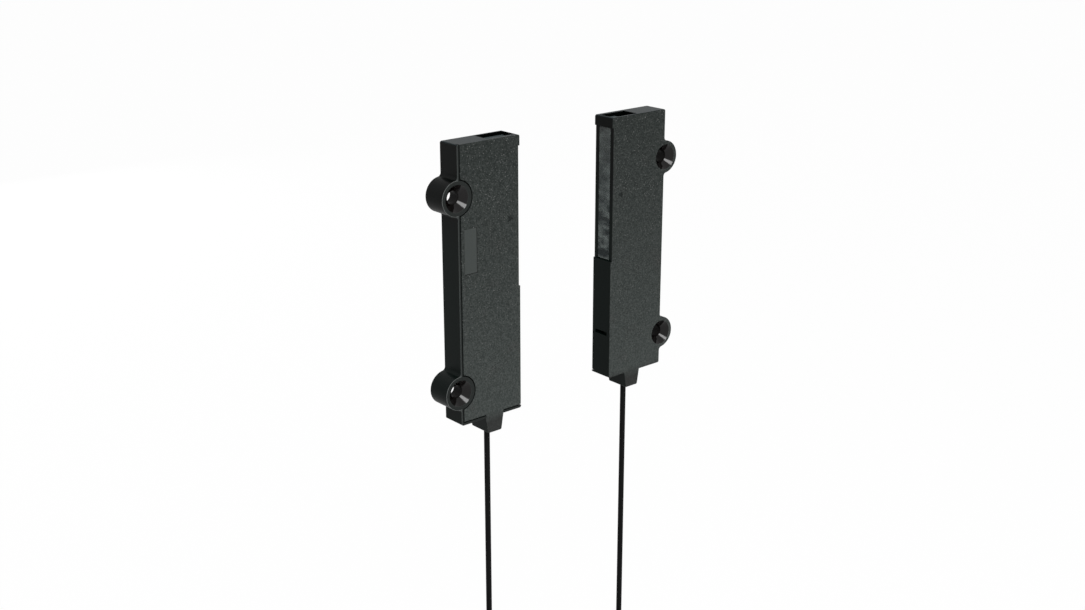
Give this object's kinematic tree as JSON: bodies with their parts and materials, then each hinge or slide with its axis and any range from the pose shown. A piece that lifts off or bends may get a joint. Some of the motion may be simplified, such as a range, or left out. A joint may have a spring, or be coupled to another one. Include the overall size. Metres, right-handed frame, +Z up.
{
  "type": "fibre optic sensor cable",
  "caption": "Through-beam area sensing heads with tall windows facing each other, countersunk screw ears and thin fibre cables.",
  "frame": {"origin": "middle of the four screw holes of the two heads, at half their depth", "axes": "+X from the emitting head to the receiving head along the beam, +Y along the screws away from the viewer, +Z up along the heads, away from the cables"},
  "size_m": [0.0949, 0.0095, 0.196],
  "materials": {
    "case_plastic": "black moulded plastic, fine texture on the flat faces and satin elsewhere",
    "cover_plastic": "black moulded plastic with a fine sparkling texture",
    "window_plastic": "smoked clear plastic, glossy",
    "mirror_coating": "metallised plastic, bright facets",
    "ferrule_metal": "turned stainless steel",
    "fibre_core": "clear fibre core",
    "grip_metal": "crimped brass ring",
    "cable_sheath": "smooth black sheath, satin",
    "tie_plastic": "black moulded cable tie",
    "sleeve_metal": "turned metal sleeve, fine turning marks"
  },
  "bodies": {
    "root": {"emitter_case": "case_plastic", "emitter_cover": "cover_plastic", "emitter_window": "window_plastic", "emitter_mirror": "mirror_coating", "emitter_ferrule": "ferrule_metal", "emitter_fibre_core": "fibre_core", "emitter_cable_grip": "grip_metal", "emitter_cable": "cable_sheath", "emitter_cable_coil": "cable_sheath", "emitter_cable_tail": "cable_sheath", "emitter_coil_tie": "tie_plastic", "emitter_fibre_sleeve": "sleeve_metal", "receiver_case": "case_plastic", "receiver_cover": "cover_plastic", "receiver_window": "window_plastic", "receiver_mirror": "mirror_coating", "receiver_ferrule": "ferrule_metal", "receiver_fibre_core": "fibre_core", "receiver_cable_grip": "grip_metal", "receiver_cable": "cable_sheath", "receiver_cable_coil": "cable_sheath", "receiver_cable_tail": "cable_sheath", "receiver_coil_tie": "tie_plastic", "receiver_fibre_sleeve": "sleeve_metal"}
  },
  "joints": []
}
